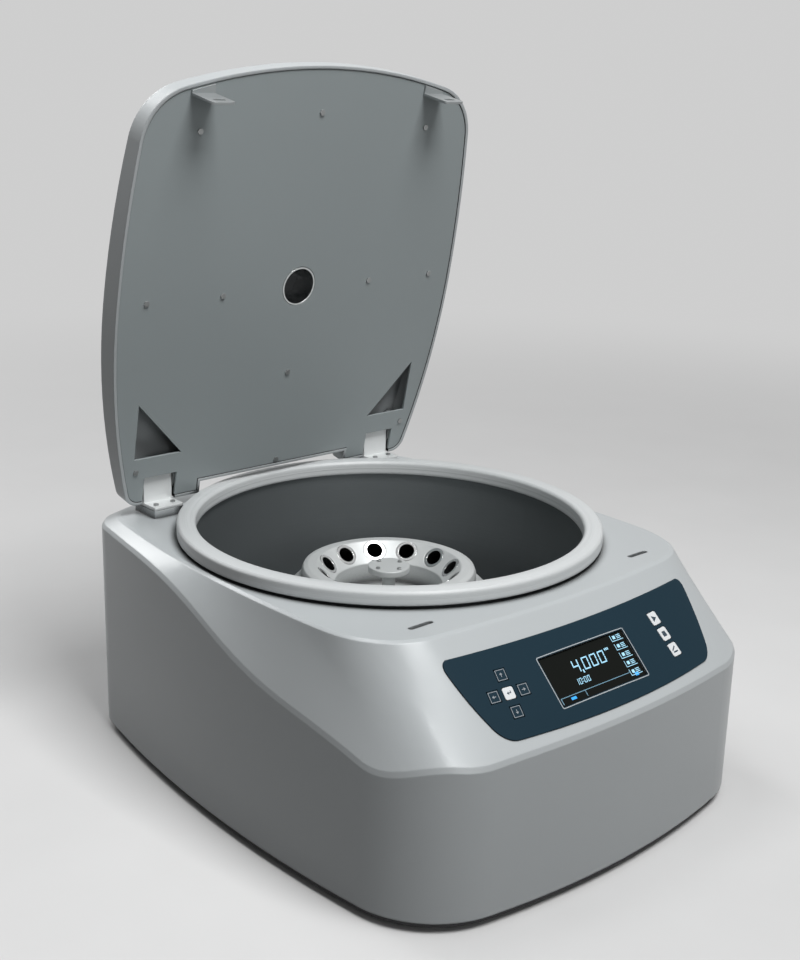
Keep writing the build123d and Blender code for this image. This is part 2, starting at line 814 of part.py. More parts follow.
# Two small boards behind the keys, each with a switch under every key and two
# spacers against the cabinet wall.
with BuildPart() as key_boards:
    for plane, width in ((pad_plane, pad_board_w), (row_plane, row_board_w)):
        with BuildSketch(plane.offset(-board_depth)):
            Rectangle(width, board_h)
        extrude(amount=-board_t)
key_boards.part.label = "key_boards"
export_step(key_boards.part, "parts/key_boards.step")

with BuildPart() as key_switches:
    for plane, places in ((pad_plane, pad_places), (row_plane, row_places)):
        with BuildSketch(plane.offset(-board_depth)):
            with Locations(*places.values()):
                Rectangle(switch_size, switch_size)
        extrude(amount=board_depth - key_depth - key_travel)
key_switches.part.label = "key_switches"
export_step(key_switches.part, "parts/key_switches.step")

with BuildPart() as board_spacers:
    for plane, width in ((pad_plane, pad_board_w), (row_plane, row_board_w)):
        with BuildSketch(plane.offset(-board_depth)):
            with GridLocations(width - 2 * spacer_r, board_h - 2 * spacer_r, 2, 2):
                RegularPolygon(spacer_r, 6)
        extrude(amount=board_depth - spacer_top)
board_spacers.part.label = "board_spacers"
export_step(board_spacers.part, "parts/board_spacers.step")

# Display: a glass window in the opening and the module that carries it.
with BuildPart() as display_window:
    with BuildSketch(display_plane.offset(-display_depth)):
        Rectangle(display_w - 2 * display_gap, display_h - 2 * display_gap)
    extrude(amount=-glass_t)
display_window.part.label = "display_window"
export_step(display_window.part, "parts/display_window.step")

with BuildPart() as display_module:
    with BuildSketch(display_plane.offset(-display_depth - glass_t)):
        Rectangle(display_w - 2 * display_gap, display_h - 2 * display_gap)
    extrude(amount=-module_step)
    with BuildSketch(display_plane.offset(-display_depth - glass_t - module_step)):
        Rectangle(display_w + 2 * module_lip, display_h + 2 * module_lip)
    extrude(amount=-module_t)
display_module.part.label = "display_module"
export_step(display_module.part, "parts/display_module.step")


# Outline of the lid on its own plane, smaller all round by the inset.
def lid_outline(inset):
    corner = (lid_front_half - inset, lid_front_side - inset)
    rear = (lid_rear_half - inset, lid_rear + inset)
    with BuildSketch() as outline:
        with BuildLine():
            TangentArc((0, lid_tip - inset), corner, tangent=(1, 0))
            TangentArc((lid_half - inset, lid_widest), corner, tangent=(0, 1))
            TangentArc((lid_half - inset, lid_widest), rear, tangent=(0, -1))
            Line(rear, (0, rear[1]))
            mirror(about=Plane.YZ)
        make_face()
        fillet(outline.vertices().filter_by(lambda v: abs(v.X) > 1 and abs(v.Y - corner[1]) < 1),
               lid_front_r - inset)
        fillet(outline.vertices().filter_by(lambda v: abs(v.X) > 1 and abs(v.Y - rear[1]) < 1),
               lid_rear_r - inset)
    return outline.sketch


# The middle of the lid's back edge is set forward, clear of the seal ring.
def rear_notch(inset):
    with BuildSketch() as notch:
        with Locations((0, lid_rear)):
            Rectangle(2 * (lid_notch_half + inset), 2 * (lid_notch - lid_rear + inset))
    return notch.sketch


# The lid as a solid pillow, smaller all round by the inset.
def lid_block(inset):
    dome = lid_plane.from_local_coords((0, lid_widest, lid_dome_r - lid_depth))
    with BuildPart() as block:
        with BuildSketch(lid_plane.offset(lid_rim)):
            add(lid_outline(inset))
        extrude(amount=-(lid_depth + lid_rim))
        with Locations(dome):
            Cylinder(lid_dome_r - inset, 4 * body_half, rotation=(0, 90, 0), mode=Mode.INTERSECT)
        chamfer(block.faces().sort_by(Axis(pivot, lid_in))[0].edges(),
                lid_edge - inset * (2 - math.sqrt(2)))
        with BuildSketch(lid_plane.offset(lid_rim)):
            add(rear_notch(inset))
        extrude(amount=-2 * lid_depth, mode=Mode.SUBTRACT)
    return block.part


hinge_places = [(-hinge_x, 0), (hinge_x, 0)]
notch_w = hinge_w + 2 * post_notch
screw_places = [(0, v) for v in lid_screw_rows]
for from_side, v in lid_screw_pairs:
    screw_places += [(from_side - lid_half, v), (lid_half - from_side, v)]


# Six-sided bosses for the panel's screws, from the panel into the lid's wall.
def lid_bosses():
    with BuildPart() as bosses:
        with BuildSketch(lid_plane.offset(-panel_t)):
            with Locations(*screw_places):
                RegularPolygon(lid_boss_r, 6)
        extrude(amount=-lid_depth)
        add(lid_block(lid_wall / 2), mode=Mode.INTERSECT)
    return bosses.part


# Lid shell: a shallow cover, bowed from front to back and hollow underneath, with a
# boss for each panel screw, a hole for the port and a notch at each hinge.
with BuildPart() as lid_shell:
    add(lid_block(0))
    add(lid_block(lid_wall), mode=Mode.SUBTRACT)
    add(lid_bosses())
    with BuildSketch(lid_plane):
        with Locations((0, port_v)):
            Circle(port_r + panel_gap)
    extrude(amount=-2 * lid_depth, mode=Mode.SUBTRACT)
    with BuildSketch(lid_plane.offset(lid_rim)):
        with Locations(*hinge_places):
            Rectangle(notch_w, 2 * notch_up)
    extrude(amount=-(notch_back + lid_rim), mode=Mode.SUBTRACT)
lid_shell.part.label = "lid_shell"
export_step(lid_shell.part, "parts/lid_shell.step")

# Inner panel of the lid: flat sheet with the port, two corner windows, the hinge
# notches and a hole for each screw.
with BuildPart() as lid_panel:
    with BuildSketch(lid_plane) as panel_shape:
        add(lid_outline(lid_wall + panel_gap))
        add(rear_notch(lid_wall + panel_gap), mode=Mode.SUBTRACT)
        with Locations((0, port_v)):
            Circle(port_r + panel_gap, mode=Mode.SUBTRACT)
        with Locations(*hinge_places):
            Rectangle(notch_w, 2 * notch_up, mode=Mode.SUBTRACT)
        for side in (-1, 1):
            with BuildLine() as window:
                Polyline((side * corner_out, corner_low), (side * corner_in, corner_low),
                         (side * corner_out, corner_high), close=True)
            make_face(mode=Mode.SUBTRACT)
    extrude(amount=-panel_t)
lid_panel.part.label = "lid_panel"
export_step(lid_panel.part, "parts/lid_panel.step")

# Screws of the inner panel.
with BuildPart() as lid_screws:
    with BuildSketch(lid_plane):
        with Locations(*screw_places):
            RegularPolygon(lid_screw_r, 6)
    extrude(amount=lid_screw_head)
lid_screws.part.label = "lid_screws"
export_step(lid_screws.part, "parts/lid_screws.step")

# Viewing port: a polished sleeve through the lid with a clear disc on its outer end.
port_depth = lid_depth - (port_v - lid_widest) ** 2 / (2 * lid_dome_r)
port_seat = port_depth - port_lens_t
with BuildPart() as port_sleeve:
    with BuildSketch(lid_plane):
        with Locations((0, port_v)):
            Circle(port_r)
            Circle(port_r - port_wall, mode=Mode.SUBTRACT)
    extrude(amount=-port_seat)
port_sleeve.part.label = "port_sleeve"
export_step(port_sleeve.part, "parts/port_sleeve.step")

with BuildPart() as port_lens:
    with BuildSketch(lid_plane.offset(-port_seat)):
        with Locations((0, port_v)):
            Circle(port_r)
    extrude(amount=-port_lens_t)
port_lens.part.label = "port_lens"
export_step(port_lens.part, "parts/port_lens.step")

# Two latch hooks: bent plates on the inner panel, each with an eye near its tip.
with BuildPart() as lid_hooks:
    for side in (-1, 1):
        with BuildSketch(lid_plane):
            with Locations((side * hook_x, hook_v)):
                Rectangle(hook_w, hook_t)
        extrude(amount=hook_length)
        with BuildSketch(lid_plane):
            with Locations((side * hook_x, hook_v + (hook_foot - hook_t) / 2)):
                Rectangle(hook_w, hook_foot)
            add(lid_outline(lid_wall + 2 * panel_gap), mode=Mode.INTERSECT)
        extrude(amount=hook_t)
        hook_face = Plane(lid_plane.from_local_coords((side * hook_x, hook_v, hook_length)),
                          x_dir=(1, 0, 0), z_dir=lid_up)
        with BuildSketch(hook_face):
            with Locations((0, hook_eye_drop)):
                RectangleRounded(hook_eye_w, hook_eye_h, hook_eye_r)
        extrude(amount=hook_t, both=True, mode=Mode.SUBTRACT)
    tips = lid_hooks.edges().filter_by(
        lambda e: abs(lid_plane.to_local_coords(e.center()).Z - hook_length) < seat_gap
        and e.length < 2 * hook_t)
    fillet(tips, hook_tip_r)
lid_hooks.part.label = "lid_hooks"
export_step(lid_hooks.part, "parts/lid_hooks.step")

# Hinge plates in the lid: each carries two ears that turn on the pin.
ear_inner = hinge_w / 2 + ear_gap
ear_end = lid_plate_low + ear_t - pivot_up
plate_face = pivot_back - panel_t
with BuildPart() as lid_hinges:
    for side in (-1, 1):
        with BuildSketch(lid_plane.offset(-panel_t)):
            with Locations((side * hinge_x, (lid_plate_low + lid_plate_v) / 2)):
                Rectangle(2 * (ear_inner + ear_t), lid_plate_v - lid_plate_low)
        extrude(amount=-ear_t)
        for hand in (-1, 1):
            ear_side = Plane(
                lid_plane.from_local_coords((side * hinge_x + hand * (ear_inner + ear_t / 2), pivot_up,
                                             -pivot_back)),
                x_dir=lid_up, z_dir=(1, 0, 0))
            with BuildSketch(ear_side):
                Circle(ear_r)
                with BuildLine():
                    Polyline((0, ear_r), (0, -ear_r), (ear_end, plate_face - ear_t),
                             (ear_end, plate_face), (ear_end - ear_t, plate_face), close=True)
                make_face()
                Circle(pin_r + pin_gap, mode=Mode.SUBTRACT)
            extrude(amount=ear_t / 2, both=True)
lid_hinges.part.label = "lid_hinges"
export_step(lid_hinges.part, "parts/lid_hinges.step")

# Hinge posts on the deck: a screwed foot with an upright block that holds the pin.
foot_top_z = pedestal_z + hinge_foot
post_side = Plane((hinge_x - hinge_w / 2, pivot_y, pivot_z), x_dir=(0, 1, 0), z_dir=(1, 0, 0))
with BuildPart() as hinge_posts:
    with BuildSketch(post_side):
        with BuildLine():
            Polyline((-post_front, foot_top_z - pivot_z), (-post_front, post_top), (0, post_top))
            TangentArc((0, post_top), (post_rear, post_top - post_rear), tangent=(1, 0))
            Polyline((post_rear, post_top - post_rear), (post_rear, pedestal_z - pivot_z),
                     (hinge_front_y - pivot_y, pedestal_z - pivot_z),
                     (hinge_front_y - pivot_y, foot_top_z - pivot_z),
                     (-post_front, foot_top_z - pivot_z))
        make_face()
        Circle(pin_r, mode=Mode.SUBTRACT)
    extrude(amount=hinge_w)
    mirror(about=Plane.YZ)
hinge_posts.part.label = "hinge_posts"
export_step(hinge_posts.part, "parts/hinge_posts.step")

with BuildPart() as hinge_pins:
    for side in (-1, 1):
        with BuildSketch(Plane((side * hinge_x, pivot_y, pivot_z), x_dir=(0, 1, 0), z_dir=(1, 0, 0))):
            Circle(pin_r)
        extrude(amount=ear_inner + ear_t + pin_end, both=True)
hinge_pins.part.label = "hinge_pins"
export_step(hinge_pins.part, "parts/hinge_pins.step")

with BuildPart() as hinge_screws:
    with BuildSketch(Plane.XY.offset(foot_top_z)):
        with Locations(*[(side * hinge_x + hand * hinge_screw_x, hinge_front_y + hinge_screw_y)
                         for side in (-1, 1) for hand in (-1, 1)]):
            RegularPolygon(hinge_screw_r, 6)
    extrude(amount=hinge_screw_head)
hinge_screws.part.label = "hinge_screws"
export_step(hinge_screws.part, "parts/hinge_screws.step")

# Latch under the deck: one sliding bar with two bolts that enter the hooks' eyes,
# two guides and a solenoid whose plunger moves the bar.
closed_face_z = pivot_z - pivot_back
bolt_z = closed_face_z - (hook_length - hook_eye_drop)
bar_low = bolt_z - bolt_t / 2
under_deck = deck_z - wall
bolt_tip_y = hook_y - bolt_rest
with BuildPart() as latch_bar:
    with BuildSketch(Plane.XY.offset(bar_low)):
        with Locations((0, bar_rear_y)):
            Rectangle(2 * bar_half, bar_w, align=(Align.CENTER, Align.MAX))
        with Locations((-hook_x, bar_rear_y), (hook_x, bar_rear_y)):
            Rectangle(bolt_w, bolt_tip_y - bar_rear_y, align=(Align.CENTER, Align.MIN))
        with Locations((coil_x, bar_rear_y)):
            Rectangle(arm_w, arm_reach, align=(Align.CENTER, Align.MIN))
    extrude(amount=bolt_t)
    with BuildSketch(Plane.XY.offset(bar_low)):
        with Locations((coil_x, bar_rear_y + arm_reach)):
            Rectangle(arm_w, arm_t, align=(Align.CENTER, Align.MAX))
    extrude(amount=-(coil_drop + coil_h / 2 + arm_w / 2))
latch_bar.part.label = "latch_bar"
export_step(latch_bar.part, "parts/latch_bar.step")

plunger_z = bar_low - coil_drop - coil_h / 2
arm_front_y = bar_rear_y + arm_reach - arm_t
with BuildPart() as latch_plunger:
    with BuildSketch(Plane((coil_x, arm_front_y, plunger_z), x_dir=(1, 0, 0), z_dir=(0, -1, 0))):
        Circle(plunger_r)
    extrude(amount=plunger_length)
latch_plunger.part.label = "latch_plunger"
export_step(latch_plunger.part, "parts/latch_plunger.step")

coil_rear_y = arm_front_y - coil_clear
with BuildPart() as latch_solenoid:
    with BuildSketch(Plane((coil_x, coil_rear_y, plunger_z), x_dir=(1, 0, 0), z_dir=(0, -1, 0))):
        Rectangle(coil_w, coil_h)
        Circle(plunger_r + slide_gap, mode=Mode.SUBTRACT)
    extrude(amount=coil_length)
    with BuildSketch(Plane((coil_x, coil_rear_y - coil_front, plunger_z), x_dir=(1, 0, 0),
                           z_dir=(0, -1, 0))):
        with Locations((0, coil_h / 2)):
            Rectangle(coil_w, under_deck - plunger_z - coil_h / 2, align=(Align.CENTER, Align.MIN))
    extrude(amount=strap_t)
latch_solenoid.part.label = "latch_solenoid"
export_step(latch_solenoid.part, "parts/latch_solenoid.step")

with BuildPart() as latch_guides:
    guide_front = bar_rear_y - bar_w - slide_gap
    guide_rear = bar_rear_y + latch_travel + slide_gap
    guide_middle = (guide_front + guide_rear) / 2
    with BuildSketch(Plane.XY.offset(under_deck)):
        with Locations((-guide_x, guide_middle), (guide_x, guide_middle)):
            Rectangle(guide_w, guide_rear - guide_front + 2 * guide_wall)
    extrude(amount=-(under_deck - bar_low + slide_gap + guide_wall))
    with BuildSketch(Plane.XY.offset(bar_low - slide_gap)):
        with Locations((0, guide_middle)):
            Rectangle(4 * guide_x, guide_rear - guide_front)
    extrude(amount=bolt_t + 2 * slide_gap, mode=Mode.SUBTRACT)
latch_guides.part.label = "latch_guides"
export_step(latch_guides.part, "parts/latch_guides.step")

# Mains inlet in the back wall: a flange, a deep socket and three blades.
with BuildPart() as power_inlet:
    with BuildSketch(back_plane):
        with Locations((-inlet_x, inlet_z)):
            Rectangle(inlet_flange_w - seat_gap, inlet_flange_h - seat_gap)
            Rectangle(inlet_w, inlet_h, mode=Mode.SUBTRACT)
    extrude(amount=-inlet_flange)
    with BuildSketch(back_plane):
        with Locations((-inlet_x, inlet_z)):
            Rectangle(inlet_w + 2 * inlet_wall - seat_gap, inlet_h + 2 * inlet_wall - seat_gap)
    extrude(amount=-(inlet_depth + inlet_wall))
    with BuildSketch(back_plane):
        with Locations((-inlet_x, inlet_z)):
            inlet_shape = Rectangle(inlet_w, inlet_h)
            chamfer(inlet_shape.vertices().sort_by(Axis.Y)[-2:], inlet_chamfer)
    extrude(amount=-inlet_depth, mode=Mode.SUBTRACT)
power_inlet.part.label = "power_inlet"
export_step(power_inlet.part, "parts/power_inlet.step")

with BuildPart() as inlet_blades:
    with BuildSketch(back_plane.offset(-inlet_depth)):
        with Locations((-inlet_x, inlet_z + blade_up), (-inlet_x - blade_side, inlet_z - blade_up),
                       (-inlet_x + blade_side, inlet_z - blade_up)):
            Rectangle(blade_t, blade_w)
    extrude(amount=blade_length)
inlet_blades.part.label = "inlet_blades"
export_step(inlet_blades.part, "parts/inlet_blades.step")

# Rocker switch beside the inlet: a frame and the rocker on its own short pins,
# resting tipped to off.
rocker_pivot_y = body_rear - rocker_pivot_depth
with BuildPart() as switch_frame:
    with BuildSketch(back_plane):
        with Locations((-rocker_x, inlet_z)):
            Rectangle(rocker_w + 2 * frame_rim - seat_gap, rocker_h + 2 * frame_rim - seat_gap)
    extrude(amount=-inlet_flange)
    with BuildSketch(back_plane):
        with Locations((-rocker_x, inlet_z)):
            Rectangle(rocker_w + 2 * frame_wall - seat_gap, rocker_h + 2 * frame_wall - seat_gap)
    extrude(amount=-frame_depth)
    with BuildSketch(back_plane):
        with Locations((-rocker_x, inlet_z)):
            Rectangle(rocker_w, rocker_h)
    extrude(amount=-(frame_depth - frame_wall), mode=Mode.SUBTRACT)
    with BuildSketch(Plane((rocker_x, rocker_pivot_y, inlet_z), x_dir=(0, 1, 0), z_dir=(1, 0, 0))):
        Circle(rocker_pin_r + running_gap)
    extrude(amount=rocker_w, both=True, mode=Mode.SUBTRACT)
switch_frame.part.label = "switch_frame"
export_step(switch_frame.part, "parts/switch_frame.step")

tilt = math.radians(rocker_tilt)
rocker_plane = Plane((rocker_x, rocker_pivot_y, inlet_z), z_dir=(1, 0, 0),
                     x_dir=(0, math.cos(tilt), -math.sin(tilt)))
with BuildPart() as power_rocker:
    with BuildSketch(rocker_plane):
        with BuildLine():
            half = rocker_h / 2 - rocker_end_gap
            ThreePointArc((rocker_low, -half), (rocker_dish, 0), (rocker_low, half))
            Polyline((rocker_low, half), (0, half), (-rocker_back, 0), (0, -half), (rocker_low, -half))
        make_face()
    extrude(amount=rocker_w / 2 - slide_gap, both=True)
    with BuildSketch(rocker_plane):
        Circle(rocker_pin_r)
    extrude(amount=rocker_w / 2 + rocker_pin, both=True)
power_rocker.part.label = "power_rocker"
export_step(power_rocker.part, "parts/power_rocker.step")

# Drive electronics at the front of the pan.
with BuildPart() as board_standoffs:
    with BuildSketch(Plane((0, drive_board_y, pan_floor_z))):
        with GridLocations(drive_board_w - 4 * spacer_r, drive_board_d - 4 * spacer_r, 2, 2):
            RegularPolygon(spacer_r, 6)
    extrude(amount=standoff_h)
board_standoffs.part.label = "board_standoffs"
export_step(board_standoffs.part, "parts/board_standoffs.step")

board_z = pan_floor_z + standoff_h
with BuildPart() as drive_board:
    with BuildSketch(Plane((0, drive_board_y, board_z))):
        Rectangle(drive_board_w, drive_board_d)
    extrude(amount=board_t)
drive_board.part.label = "drive_board"
export_step(drive_board.part, "parts/drive_board.step")

with BuildPart() as board_capacitors:
    with BuildSketch(Plane((capacitor_x, drive_board_y, board_z + board_t))):
        with GridLocations(capacitor_w + board_t, 1, 3, 1):
            Rectangle(capacitor_w, 2 * capacitor_w)
    extrude(amount=capacitor_h)
board_capacitors.part.label = "board_capacitors"
export_step(board_capacitors.part, "parts/board_capacitors.step")

with BuildPart() as board_transformer:
    with BuildSketch(Plane((transformer_x, drive_board_y, board_z + board_t))):
        Rectangle(transformer_w, transformer_w)
    extrude(amount=transformer_h)
board_transformer.part.label = "board_transformer"
export_step(board_transformer.part, "parts/board_transformer.step")

with BuildPart() as heat_sink:
    with BuildSketch(Plane((0, drive_board_y, board_z + board_t))):
        Rectangle(sink_w, sink_d)
    extrude(amount=sink_base)
    with BuildSketch(Plane((0, drive_board_y, board_z + board_t + sink_base))):
        with GridLocations(sink_w / 5, 1, 5, 1):
            Rectangle(sink_fin, sink_d)
    extrude(amount=sink_h)
heat_sink.part.label = "heat_sink"
export_step(heat_sink.part, "parts/heat_sink.step")
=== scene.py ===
import bpy
import math
from mathutils import Matrix, Vector
from mathutils.bvhtree import BVHTree


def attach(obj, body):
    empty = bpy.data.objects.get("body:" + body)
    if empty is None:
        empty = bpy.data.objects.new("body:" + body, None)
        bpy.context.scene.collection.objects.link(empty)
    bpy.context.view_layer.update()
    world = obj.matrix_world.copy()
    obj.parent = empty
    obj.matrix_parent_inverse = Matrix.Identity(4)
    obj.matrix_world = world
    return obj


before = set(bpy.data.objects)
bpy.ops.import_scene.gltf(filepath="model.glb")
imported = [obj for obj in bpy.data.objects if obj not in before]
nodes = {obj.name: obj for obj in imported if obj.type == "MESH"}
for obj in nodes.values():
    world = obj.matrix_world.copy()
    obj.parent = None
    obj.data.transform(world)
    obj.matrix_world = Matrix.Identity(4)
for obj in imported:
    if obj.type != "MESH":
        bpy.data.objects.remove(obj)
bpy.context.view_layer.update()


# Base pan and feet: a folded sheet-steel pan with black powder coat closes the cabinet from
# below. Zinc-plated screws hold it to the casing, and it stands on four moulded rubber feet.
def added(tree, kind, values=None, links=None, **options):
    node = tree.nodes.new("ShaderNode" + kind)
    for option, value in options.items():
        setattr(node, option, value)
    for socket, value in (values or {}).items():
        node.inputs[socket].default_value = value
    for socket, source in (links or {}).items():
        tree.links.new(source, node.inputs[socket])
    return node


def finish(name, colour, rough, metal=0.0, grain=(2500.0, 0.02), mottle=(9.0, 0.04), coat=0.0,
           eased=0.0006, shine=0.5):
    # A slow mottle in tone and gloss, a fine grain, and sharp edges eased by a small radius.
    made = bpy.data.materials.new(name)
    made.use_nodes = True
    tree = made.node_tree
    shader = tree.nodes["Principled BSDF"]
    shader.inputs["Metallic"].default_value = metal
    shader.inputs["Coat Weight"].default_value = coat
    shader.inputs["Coat Roughness"].default_value = 0.18
    shader.inputs["Specular IOR Level"].default_value = shine
    place = added(tree, "TexCoord").outputs["Object"]
    clouds = added(tree, "TexNoise", {"Scale": mottle[0], "Detail": 5.0}, {"Vector": place})
    tone = added(tree, "MapRange", {"To Min": 1.0 - mottle[1], "To Max": 1.0 + mottle[1]},
                 {"Value": clouds.outputs["Fac"]})
    tint = added(tree, "VectorMath", {0: colour}, {"Scale": tone.outputs["Result"]},
                 operation="SCALE", name="tint")
    tree.links.new(tint.outputs["Vector"], shader.inputs["Base Color"])
    gloss = added(tree, "MapRange", {"To Min": rough * 0.9, "To Max": min(1.0, rough * 1.1)},
                  {"Value": clouds.outputs["Fac"]})
    tree.links.new(gloss.outputs["Result"], shader.inputs["Roughness"])
    edge = added(tree, "Bevel", {"Radius": eased}, samples=6, name="eased_edge")
    fine = added(tree, "TexNoise", {"Scale": grain[0], "Detail": 2.0}, {"Vector": place})
    bump = added(tree, "Bump", {"Strength": grain[1], "Distance": 0.001},
                 {"Height": fine.outputs["Fac"], "Normal": edge.outputs["Normal"]}, name="grain")
    tree.links.new(bump.outputs["Normal"], shader.inputs["Normal"])
    return made


def dress(material, *names):
    for name in names:
        nodes[name].data.materials.clear()
        nodes[name].data.materials.append(material)


powder_coat = finish("pan_coat", (0.02, 0.02, 0.022), 0.55, grain=(1400.0, 0.3))
dress(powder_coat, "base_pan")
rubber = finish("foot_rubber", (0.015, 0.015, 0.015), 0.8, grain=(900.0, 0.2))
dress(rubber, "feet")
zinc_plate = finish("zinc_plate", (0.55, 0.55, 0.54), 0.38, metal=1.0, grain=(1500.0, 0.1))
dress(zinc_plate, "base_screws")

# Drive: a motor in a cast alloy housing hangs from a zinc-plated plate on four rubber mounts.
# Its ground steel shaft goes up through the bowl, where a rubber gaiter closes the gap.
cast_alloy = finish("cast_alloy", (0.62, 0.63, 0.63), 0.5, metal=0.8, grain=(900.0, 0.2))
dress(cast_alloy, "motor_housing")
bright_steel = finish("bright_steel", (0.72, 0.72, 0.71), 0.22, metal=1.0,
                      grain=(2600.0, 0.03), eased=0.001)
dress(bright_steel, "motor_shaft")
dress(zinc_plate, "motor_plate")
dress(rubber, "motor_mounts", "shaft_gaiter")

# Drive board: a green circuit board on black standoffs in the base pan. It carries a
# transformer, three capacitors and a cast heat sink.
board_green = finish("board_green", (0.03, 0.12, 0.05), 0.45)
dress(board_green, "drive_board")
black_moulding = finish("black_moulding", (0.02, 0.02, 0.021), 0.45, grain=(1200.0, 0.12))
dress(black_moulding, "board_standoffs", "board_transformer", "board_capacitors")
dress(cast_alloy, "heat_sink")

# Mains inlet and switch: black mouldings set into the back wall. The inlet has three brass
# blades, and the rocker tips in its own frame.
blade_brass = finish("blade_brass", (0.75, 0.62, 0.35), 0.3, metal=1.0)
dress(blade_brass, "inlet_blades")
dress(black_moulding, "power_inlet", "switch_frame", "power_rocker")


# Casing: the cabinet's outer shell, sprayed in silver-grey satin paint under a thin clear
# coat. It drops over the base pan. Painted shade darkens its narrow slots and inner corners.
def paint_shade_in_corners(material, reach):
    tree = material.node_tree
    tint = tree.nodes["tint"].outputs["Vector"]
    # Painted shade: the colour is darkened where nearby surfaces hide the open air, in slots,
    # crevices and inner corners.
    hidden = added(tree, "AmbientOcclusion", {"Distance": reach}, samples=8)
    depth = added(tree, "MapRange", {"From Min": 0.45, "From Max": 0.8},
                  {"Value": hidden.outputs["AO"]})
    shade = added(tree, "VectorMath", links={0: tint, "Scale": depth.outputs["Result"]},
                  operation="SCALE")
    tree.links.new(shade.outputs["Vector"],
                   tree.nodes["Principled BSDF"].inputs["Base Color"])


cabinet_paint = finish("cabinet_paint", (0.43, 0.455, 0.465), 0.36, metal=0.05,
                       grain=(1800.0, 0.05), mottle=(7.0, 0.03), coat=0.25, eased=0.0015,
                       shine=0.3)
paint_shade_in_corners(cabinet_paint, 0.01)
dress(cabinet_paint, "casing")

# Chamber bowl: a deep tub spun from stainless steel that stands in the casing. Spinning
# leaves faint turning lines round the rotor's axis.
axis_y = 0.0334
line_scale = 420.0


def turning_lines(material, strength):
    tree = material.node_tree
    place = added(tree, "TexCoord").outputs["Object"]
    from_axis = added(tree, "VectorMath", {1: (1, 1, 0), 2: (0, -axis_y, 0)}, {0: place},
                      operation="MULTIPLY_ADD")
    radius = added(tree, "VectorMath", links={0: from_axis.outputs["Vector"]},
                   operation="LENGTH")
    parts = added(tree, "SeparateXYZ", links={"Vector": place})
    turned = added(tree, "CombineXYZ",
                   links={"X": radius.outputs["Value"], "Z": parts.outputs["Z"]})
    lines = added(tree, "TexNoise", {"Scale": line_scale, "Detail": 4.0},
                  {"Vector": turned.outputs["Vector"]})
    ridges = added(tree, "Bump", {"Strength": strength, "Distance": 0.001},
                   {"Height": lines.outputs["Fac"],
                    "Normal": tree.nodes["eased_edge"].outputs["Normal"]})
    tree.links.new(ridges.outputs["Normal"], tree.nodes["grain"].inputs["Normal"])


bowl_steel = finish("bowl_steel", (0.15, 0.165, 0.17), 0.42, metal=0.6, grain=(1600.0, 0.06),
                    mottle=(5.0, 0.08), eased=0.002)
turning_lines(bowl_steel, 0.1)
dress(bowl_steel, "chamber_bowl")

# Seal ring: a pale grey ring moulded in soft rubber and pressed on the bowl's flange. The
# turned mould leaves fine lines on it, and the closed lid rests on it.
seal_rubber = finish("seal_rubber", (0.55, 0.57, 0.575), 0.42, grain=(1600.0, 0.06), coat=0.1,
                     eased=0.003)
turning_lines(seal_rubber, 0.4)
dress(seal_rubber, "chamber_seal")

# Rotor: a head turned from aluminium and clear-anodised, with twelve drawn steel sleeves
# pressed into its cone. A clamp with four screws holds it on the motor shaft.
rotor_alloy = finish("rotor_alloy", (0.56, 0.58, 0.58), 0.52, metal=0.35, grain=(2200.0, 0.04),
                     eased=0.002)
turning_lines(rotor_alloy, 0.1)
# Painted shade darkens the rotor's well, crevices and inner corners.
paint_shade_in_corners(rotor_alloy, 0.02)
dress(rotor_alloy, "rotor_head", "rotor_clamp")
sleeve_steel = finish("sleeve_steel", (0.68, 0.69, 0.69), 0.2, metal=1.0, grain=(2600.0, 0.02))
# Painted shade darkens the insides of the sleeves' mouths and the corners round them.
paint_shade_in_corners(sleeve_steel, 0.012)
dress(sleeve_steel, "tube_sleeves")
screw_steel = finish("screw_steel", (0.34, 0.35, 0.35), 0.4, metal=0.9, grain=(2600.0, 0.05))
dress(screw_steel, "clamp_screws")

# Latch: a zinc-plated bar slides in two black guides under the deck into the eyes of the
# lid's hooks. A solenoid pulls it by its plunger.
dress(black_moulding, "latch_guides")
dress(zinc_plate, "latch_bar", "latch_plunger", "latch_solenoid")

# Hinges: two pale plated posts screwed to the deck, with ground steel pins. The folded
# brackets that turn on the pins are fixed inside the lid.
hinge_plate = finish("hinge_plate", (0.72, 0.74, 0.74), 0.4, metal=0.3, grain=(1800.0, 0.04),
                     eased=0.0015)
dress(hinge_plate, "hinge_posts")
dress(bright_steel, "hinge_pins")
dress(screw_steel, "hinge_screws")
lid_bracket = finish("lid_bracket", (0.20, 0.21, 0.21), 0.45, metal=0.6, grain=(1800.0, 0.05))
dress(lid_bracket, "lid_hinges")

# Lid: a bowed shell, painted like the cabinet, over a matte grey inner panel that eleven
# small screws hold. Two folded steel hooks stand out at its front edge.
dress(cabinet_paint, "lid_shell")
lid_panel_grey = finish("lid_panel_grey", (0.30, 0.335, 0.342), 0.5, metal=0.1,
                        grain=(1500.0, 0.06), mottle=(4.0, 0.06))
dress(lid_panel_grey, "lid_panel")
dress(screw_steel, "lid_screws")
hook_plate = finish("hook_plate", (0.34, 0.36, 0.365), 0.4, metal=0.6, grain=(1800.0, 0.05))
dress(hook_plate, "lid_hooks")

# Viewing port: a polished alloy sleeve through the middle of the lid, closed by a dark
# clear lens.
port_alloy = finish("port_alloy", (0.55, 0.57, 0.57), 0.16, metal=1.0, grain=(2600.0, 0.02))
dress(port_alloy, "port_sleeve")
port_glass = bpy.data.materials.new("port_glass")
port_glass.use_nodes = True
shader = port_glass.node_tree.nodes["Principled BSDF"]
shader.inputs["Base Color"].default_value = (0.02, 0.022, 0.024, 1)
shader.inputs["Roughness"].default_value = 0.05
shader.inputs["Transmission Weight"].default_value = 0.6
dress(port_glass, "port_lens")

